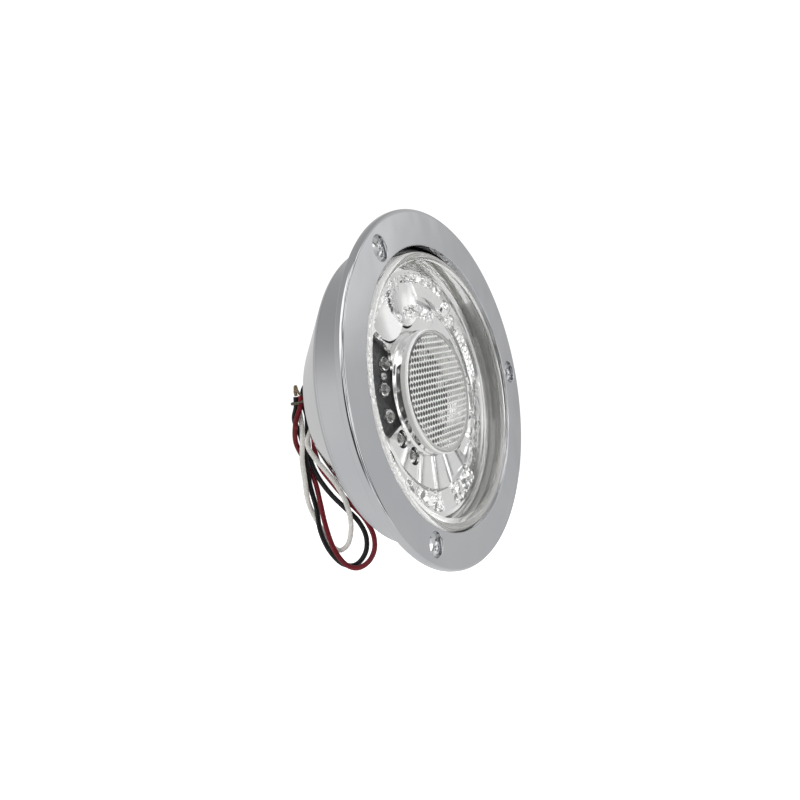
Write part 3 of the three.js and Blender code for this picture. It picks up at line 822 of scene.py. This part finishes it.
def make_collar():
    """Metallised collar: an upright outer wall with a flared foot, and a bowl-shaped inner wall."""
    front, back, lip = COLLAR.front, COLLAR.back, COLLAR.radius - 0.8
    piece = turned("collar", [
        (lip - 1.1, front, 0.2),
        (lip, front, 0.15),
        (lip + 0.2, front + 2, 0.6),
        (lip + 1.4, front + 3, 0.2),
        (lip - 1.7, front + 3.5, 0.3),
        (lip - 2.5, back),
        (lip - 4, back),
        (lip - 3.2, back - 1.1),
        (lip - 2, front + 2),
    ], METALLISED, 256, COLLAR.x, COLLAR.z)
    return place_piece(piece, "metallised_plastic", "centre_reflector")


def facets(x, z, size):
    """Random tilted facets about size wide, as a height over their common plane."""
    shuffle = np.random.default_rng(FACET_SEED)
    cells = 128
    tilt_x, tilt_z, lift, jitter_x, jitter_z = shuffle.uniform(-1, 1, (5, cells, cells))
    u, v = x / size + cells / 2, z / size + cells / 2
    best = np.full(x.shape, 1e9)
    height = np.zeros(x.shape)
    for du in (-1, 0, 1):
        for dv in (-1, 0, 1):
            i = np.clip(np.floor(u).astype(int) + du, 0, cells - 1)
            j = np.clip(np.floor(v).astype(int) + dv, 0, cells - 1)
            away_u = u - (i + 0.5 + 0.4 * jitter_x[i, j])
            away_v = v - (j + 0.5 + 0.4 * jitter_z[i, j])
            distance = away_u ** 2 + away_v ** 2
            plane = away_u * tilt_x[i, j] + away_v * tilt_z[i, j] + 0.3 * lift[i, j]
            closer = distance < best
            height = np.where(closer, plane, height)
            best = np.minimum(best, distance)
    return height


def band(value, start, end, soft):
    """1 between start and end, falling to 0 over soft on both sides."""
    rise = np.clip((value - start) / soft, 0, 1)
    fall = np.clip((end - value) / soft, 0, 1)
    return np.minimum(rise, fall)


def reflector_front(radius, degrees):
    """The y of the outer reflector's front at a radius and an angle."""
    degrees = np.mod(degrees, 360)
    x, z = radius * np.cos(np.radians(degrees)), radius * np.sin(np.radians(degrees))
    upper = np.clip(6 * np.sin(np.radians(degrees)) + 0.5, 0, 1)
    top = np.interp(radius, *zip(*TOP_PROFILE))
    across = (np.mod(degrees, PANEL_SWEEP) - PANEL_SWEEP / 2) / (PANEL_SWEEP / 2)
    panels = PANEL_DEPTH - PANEL_RIDGE * np.abs(across) ** 3
    bottom = np.where(radius < PANEL_OUTER, panels, np.interp(radius, *zip(*BOTTOM_PROFILE)))
    depth = top * upper + bottom * (1 - upper)
    for shell in SHELLS:
        away = np.hypot(x - shell.x, z - shell.z)
        dish = SHELL_DEPTH + SHELL_DISH * (1 - (away / shell.radius) ** 2)
        within = np.clip((shell.radius + SHELL_EDGE - away) / SHELL_EDGE, 0, 1)
        inside = within * np.clip((46.5 - radius) / 1.5, 0, 1)
        depth = depth * (1 - inside) + dish * inside
    for knob in KNOBS:
        away = np.hypot(x - knob.x, z - knob.z)
        depth = depth - knob.height * np.sqrt(np.clip(1 - (away / knob.radius) ** 2, 0, 1))
    for patch in PATCHES:
        sparkle = band(radius, patch.inner, patch.outer, 0.8) * band(degrees, patch.start, patch.end, 2)
        depth = depth - sparkle * patch.height * facets(x, z, patch.size)
    return BEZEL.front + np.minimum(depth, DEEPEST)


def make_ring():
    """Metallised ring with smooth shells, faceted patches, a window at each side and LED holes."""
    segments, front_rows, width = 900, 90, 26.4
    inner, outer = RING.radius - width, RING.radius
    degrees = np.arange(segments) * 360 / segments
    front_r, front_a = np.meshgrid(np.linspace(inner, outer, front_rows), degrees, indexing="ij")
    back_profile = ((outer, 11.9), (50.2, 11.9), (50, 11.3), (46.5, 11.3), (45.5, 10.5), (inner, 10.5))
    back_radii, back_depths = zip(*back_profile)
    back_r, back_a = np.meshgrid(back_radii, degrees, indexing="ij")
    back_y = BEZEL.front + np.meshgrid(back_depths, degrees, indexing="ij")[0]
    all_r = np.concatenate((front_r, back_r))
    all_a = np.radians(np.concatenate((front_a, back_a)))
    all_y = np.concatenate((reflector_front(front_r, front_a), back_y))
    x, z = RING.x + all_r * np.cos(all_a), RING.z + all_r * np.sin(all_a)
    vertices = np.stack([x, all_y, z], -1).reshape(-1, 3)
    rows = len(all_r)
    faces = []
    for k in range(rows):
        faces += strip(k * segments, (k + 1) % rows * segments, segments)
    mesh = mesh_of("reflector_ring", vertices.tolist(), faces)
    piece = smooth_piece("reflector_ring", mesh, METALLISED, 40)
    left_window = []
    for angle, far in WINDOW_EDGE:
        left_window.append((angle, WINDOW_INNER_X / math.cos(math.radians(angle)), far))
    right_window = [(angle, *RIGHT_WINDOW_RADII) for angle in RIGHT_WINDOW_ANGLES]
    cutters = [sector_mesh(stations) for stations in (left_window, right_window, NOTCH)]
    hole = [(0, -5), (APERTURE_RADIUS, -5), (APERTURE_RADIUS, 20), (0, 20)]
    for angle in APERTURE_ANGLES:
        hole_x, hole_z = on_circle(RING_LED_RADIUS, angle)
        cutters.append(turned_mesh("hole", hole, 64, RING.x + hole_x, RING.z + hole_z))
    cutters += [shell_slot(shell) for shell in SHELLS]
    carve(piece, cutters)
    return place_piece(piece, "metallised_plastic", "outer_reflector")


def shell_slot(shell):
    """A crescent cut along a shell's lower edge."""
    start, end = SHELL_SLOT
    near, steps = shell.radius + 0.2, 24
    stations = []
    for i in range(steps + 1):
        wide = 0.1 + 0.75 * math.sin(math.pi * i / steps)
        stations.append((start + (end - start) * i / steps, near, near + wide))
    return sector_mesh(stations, shell.x, shell.z)


def sector_mesh(stations, centre_x=0.0, centre_z=0.0):
    """A closed sector between (degrees, inner, outer) stations, for cutting a window or a slot."""
    front, back = RING.front - 8, RING.back + 5
    vertices, faces = [], []
    for degrees, *radii in stations:
        for radius in radii:
            x, z = on_circle(radius, degrees)
            x, z = RING.x + centre_x + x, RING.z + centre_z + z
            vertices += [(x, front, z), (x, back, z)]
    last = 4 * (len(stations) - 1)
    for a in range(0, last, 4):
        for first, second in ((0, 1), (1, 3), (3, 2), (2, 0)):
            faces.append((a + first, a + second, a + 4 + second, a + 4 + first))
    faces += [(0, 1, 3, 2), (last, last + 2, last + 3, last + 1)]
    return mesh_of("sector", vertices, faces)


# ---- board and LEDs


def make_board():
    """Round circuit board with eased edges."""
    piece = turned("board", [
        (0, BOARD.front),
        (BOARD.radius, BOARD.front, 0.15),
        (BOARD.radius, BOARD.back, 0.15),
        (0, BOARD.back),
    ], BOARD_MASK, 192, BOARD.x, BOARD.z, loop=False)
    return place_piece(piece, "board_mask", "circuit_board")


def make_led(node):
    """Clear epoxy body with a collar, a straight side and a round dome."""
    place = place_of(node)
    body_radius, dome_height, dome_base, dome_steps = 2.5, 1.7, place.back - 1.1, 12
    dome_radius = (body_radius ** 2 + dome_height ** 2) / (2 * dome_height)
    sweep = math.asin(body_radius / dome_radius)
    outline = []
    for step in range(dome_steps + 1):
        turn = sweep * step / dome_steps
        drop = dome_radius * (1 - math.cos(turn))
        outline.append((dome_radius * math.sin(turn), dome_base - dome_height + drop))
    outline += [
        (body_radius + 0.1, place.back - 1),
        (place.radius, place.back - 0.95),
        (place.radius, place.back),
        (0, place.back),
    ]
    mesh = turned_mesh(f"{node}_body", outline, 40, place.x, place.z)
    return place_piece(smooth_piece(f"{node}_body", mesh, LED_CLEAR), "led_epoxy", node)


def block(low, high):
    """Vertices and faces of a block, for the small parts inside an LED."""
    corners = [(x, y, z) for x in (low[0], high[0]) for y in (low[1], high[1]) for z in (low[2], high[2])]
    faces = [(0, 1, 3, 2), (4, 6, 7, 5), (0, 4, 5, 1), (2, 3, 7, 6), (0, 2, 6, 4), (1, 5, 7, 3)]
    return corners, faces


def make_lead_frames(nodes):
    """The post, anvil and cup inside every LED, as one piece of small closed parts."""
    cup_x, sides = 0.3, 20
    rings = [(0.35, -1.0), (0.85, -1.6), (0.95, -1.6), (0.6, -0.85)]
    vertices, faces = [], []
    for node in nodes:
        place = place_of(node)
        base = place.back - 0.1
        parts = [
            block((-1.15, base - 1.2, -0.35), (-0.75, base, 0.35)),
            block((-1.15, base - 1.5, -0.55), (-0.5, base - 1.2, 0.55)),
            block((0.1, base - 0.9, -0.35), (0.5, base, 0.35)),
        ]
        for corners, walls in parts:
            start = len(vertices)
            vertices += [(place.x + x, y, place.z + z) for x, y, z in corners]
            faces += [tuple(start + i for i in wall) for wall in walls]
        start = len(vertices)
        for radius, y in rings:
            for i in range(sides):
                x, z = on_circle(radius, 360 * i / sides)
                vertices.append((place.x + cup_x + x, base + y, place.z + z))
        for k in range(len(rings) - 1):
            faces += strip(start + k * sides, start + (k + 1) * sides, sides)
        faces.append(tuple(start + i for i in range(sides)))
        last = start + (len(rings) - 1) * sides
        faces.append(tuple(last + i for i in reversed(range(sides))))
    mesh = mesh_of("led_frames", vertices, faces)
    return place_piece(smooth_piece("led_frames", mesh, STEEL), "plated_steel")


def make_board_screw(node):
    """Pan-head screw with a cross recess."""
    place = place_of(node)
    head, shank, head_back = place.radius, 1.0, place.front + 1.3
    piece = turned(f"{node}_metal", [
        (0, place.front),
        (head - 0.5, place.front, 0.2),
        (head, place.front + 0.55, 0.3),
        (head, head_back, 0.1),
        (shank, head_back, 0.05),
        (shank, place.back - 0.6, 0.1),
        (0, place.back),
    ], STEEL, 48, place.x, place.z, loop=False)
    long, thin, recess = 0.95, 0.18, 0.7
    corner = [(long, -thin), (long, thin), (thin, thin)]
    cross = list(corner)
    for _ in range(3):
        corner = [(-z, x) for x, z in corner]
        cross += corner
    count = len(cross)
    vertices = [(place.x + x, place.front + y, place.z + z) for y in (-1, recess) for x, z in cross]
    faces = [tuple(range(count)), tuple(range(2 * count - 1, count - 1, -1))]
    faces += [(i, (i + 1) % count, count + (i + 1) % count, count + i) for i in range(count)]
    carve(piece, [mesh_of("recess", vertices, faces)])
    return place_piece(piece, "plated_steel", node)


# ---- lead ends and tie


def catmull(points, steps):
    """Places along the smooth curve through the points."""
    points = [Vector(point) for point in points]
    longer = extended(points)
    places = []
    for i in range(len(points) - 1):
        before, start, end, after = longer[i:i + 4]
        for step in range(steps):
            t = step / steps
            places.append(0.5 * (
                2 * start + (end - before) * t
                + (2 * before - 5 * start + 4 * end - after) * t ** 2
                + (3 * start - 3 * end + after - before) * t ** 3
            ))
    places.append(points[-1])
    return places


def tube_faces(path, radius, sides, vertices, faces):
    """Adds a round closed tube along a path to a mesh's vertices and faces."""
    start = len(vertices)
    side = (path[1] - path[0]).orthogonal().normalized()
    for k, place in enumerate(path):
        along = (path[min(k + 1, len(path) - 1)] - path[max(k - 1, 0)]).normalized()
        side = (side - along * side.dot(along)).normalized()
        other = along.cross(side)
        for i in range(sides):
            angle = TAU * i / sides
            vertices.append(place + (side * math.cos(angle) + other * math.sin(angle)) * radius)
    for k in range(len(path) - 1):
        faces += strip(start + k * sides, start + (k + 1) * sides, sides)
    faces.append(tuple(start + i for i in reversed(range(sides))))
    last = start + (len(path) - 1) * sides
    faces.append(tuple(last + i for i in range(sides)))


def make_lead_end(colour):
    """Stripped end: seven twisted strands that spread a little at the tip."""
    shuffle = random.Random(colour)
    centre_line = catmull(LEAD_END_ROUTES[colour], 8)
    outer_strands, twist = 6, 2.6
    vertices, faces = [], []
    for strand in range(outer_strands + 1):
        turn = TAU * strand / outer_strands
        reach = 0.0 if strand == outer_strands else STRAND_DIAMETER * 0.98
        spread = shuffle.uniform(0.0, 0.35)
        path = []
        for k, place in enumerate(centre_line):
            part = k / (len(centre_line) - 1)
            angle = turn + twist * part
            wide = reach * (1 + spread * part ** 3)
            path.append(place + Vector((math.cos(angle), math.sin(angle), 0)) * wide)
        tube_faces(path, STRAND_DIAMETER / 2, 8, vertices, faces)
    mesh = mesh_of(f"strands_{colour}", vertices, faces)
    piece = smooth_piece(f"strands_{colour}", mesh, STRAND)
    return place_piece(piece, "bare_strand", f"lead_end_{colour}")


def make_tie():
    """Coated wire wound almost twice round the bundle."""
    wire, turns, start, steps = 0.42, 1.96, math.radians(200), 72
    middle_y = (TIE.front + TIE.back) / 2
    wound = TIE.radius - wire
    path = []
    for i in range(steps + 1):
        part = i / steps
        angle = start - turns * TAU * part
        x, y = wound * math.cos(angle), wound * math.sin(angle)
        path.append(Vector((TIE.x + x, middle_y + y, TIE.z - wire + 2 * wire * part)))
    vertices, faces = [], []
    tube_faces(path, wire, 12, vertices, faces)
    mesh = mesh_of("tie_wire", vertices, faces)
    return place_piece(smooth_piece("tie_wire", mesh, TIE_PAPER), "tie_paper", "lead_tie")


# ---- make everything

make_bezel()
make_cover()
grommet = make_grommet()
make_lens()
make_gasket()
make_optic()
make_collar()
make_ring()
make_board()

led_nodes = sorted(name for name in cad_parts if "_led_" in name)
for led_node in led_nodes:
    make_led(led_node)
make_lead_frames(led_nodes)
for screw_node in sorted(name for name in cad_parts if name.startswith("board_screw")):
    make_board_screw(screw_node)

ends = {colour: make_lead_end(colour) for colour in LEAD_ROUTES}
tie = make_tie()

LEFT_AS_CAD = {"lamp_base": BASE_PLASTIC, "potting": RESIN, "diode": CERAMIC}
LEFT_AS_CAD.update({f"resistor_{number}": CERAMIC for number in (1, 2, 3, 4)})
LEFT_AS_CAD.update({f"inner_lead_{colour}": INSULATION[colour] for colour in INSULATION})
for left_node, finish in LEFT_AS_CAD.items():
    for material_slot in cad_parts[left_node].material_slots:
        material_slot.material = finish

for colour, wire in leads.items():
    wire.data.materials.append(INSULATION[colour])
    place_piece(wire, f"{colour}_insulation", f"lead_{colour}")

# ---- studio

FLOOR_SIZE = 1100
FLOOR_DROP = 55

BASE_LIGHT = 0.85
BACKDROP_LIGHT = 1.1
# Each zone's middle direction, the cosines at its outer and inner edge, and its light.
LIGHT_ZONES = (
    ((0, 0, 1), 0.1, 0.8, 0.50),
    ((0.3, 1, 0), 0.5, 0.9, 0.66),
    ((0.86, -0.5, 0), 0.55, 0.9, 0.70),
    ((1, 0, 0), 0.88, 0.95, 0.56),
    ((0.77, -0.60, 0.2), 0.975, 0.996, 1.0),
    ((-0.55, -0.55, 0.62), 0.80, 0.93, 1.9),
    ((-0.72, -0.66, -0.1), 0.78, 0.93, 0.06),
)
LAMPS_ZONE = ((0, -1, 0.12), 0.66, 0.78)


def make_floor():
    """A plain pale floor well below the lamp, lit for the camera so that it meets the backdrop."""
    half, level = FLOOR_SIZE / 2 * MM, CAD_BOX[0][2] - FLOOR_DROP * MM
    mesh = bpy.data.meshes.new("floor")
    corners = [(-half, -half, level), (half, -half, level), (half, half, level), (-half, half, level)]
    mesh.from_pydata(corners, [], [(0, 1, 2, 3)])
    finish = Finish("floor_white", (0.86, 0.86, 0.86), 0.9)
    tone = finish.spread(finish.noise(0.01, 3), 0, 1)
    finish.colour(finish.mixed(tone, (0.85, 0.85, 0.85), (0.87, 0.87, 0.87)))
    finish.set(finish.shader, "Specular IOR Level", 0.0)
    finish.set(finish.shader, "Emission Color", (1, 1, 1))
    path = finish.add("ShaderNodeLightPath")
    seen = finish.spread(path.outputs["Is Camera Ray"], 0.2, 0.8, 0, 1)
    finish.set(finish.shader, "Emission Strength", seen)
    floor = add_piece("floor", mesh, finish.material)
    floor.visible_glossy = False


def make_world():
    """Pale studio with broad zones of light and shade, and lamps in front for the chrome to mirror."""
    world = bpy.data.worlds.new("studio")
    bpy.context.scene.world = world
    studio = Nodes(world)
    direction = studio.add("ShaderNodeTexCoord").outputs["Generated"]
    inputs = {"Vector": direction, "Scale": 4.5, "Detail": 2}
    spots = studio.add("ShaderNodeTexNoise", inputs).outputs["Fac"]
    lamps = studio.spread(spots, 0.12, 1.7, 0.42, 0.58)
    level = BASE_LIGHT
    for axis, start, end, light in (*LIGHT_ZONES, (*LAMPS_ZONE, lamps)):
        inputs = {0: direction, 1: Vector(axis).normalized()}
        dot = studio.add("ShaderNodeVectorMath", inputs, operation="DOT_PRODUCT").outputs["Value"]
        rise = studio.spread(dot, 0, 1, start, end, interpolation_type="SMOOTHSTEP")
        mix = studio.add("ShaderNodeMix", {"Factor": rise, "A": level, "B": light})
        level = mix.outputs["Result"]
    camera_ray = studio.add("ShaderNodeLightPath").outputs["Is Camera Ray"]
    seen = studio.add("ShaderNodeMix", {"Factor": camera_ray, "A": level, "B": BACKDROP_LIGHT})
    background = studio.tree.nodes["Background"]
    studio.set(background, "Color", (1, 1, 1))
    studio.set(background, "Strength", seen.outputs["Result"])


make_floor()
make_world()
bpy.context.scene.view_settings.view_transform = "Standard"
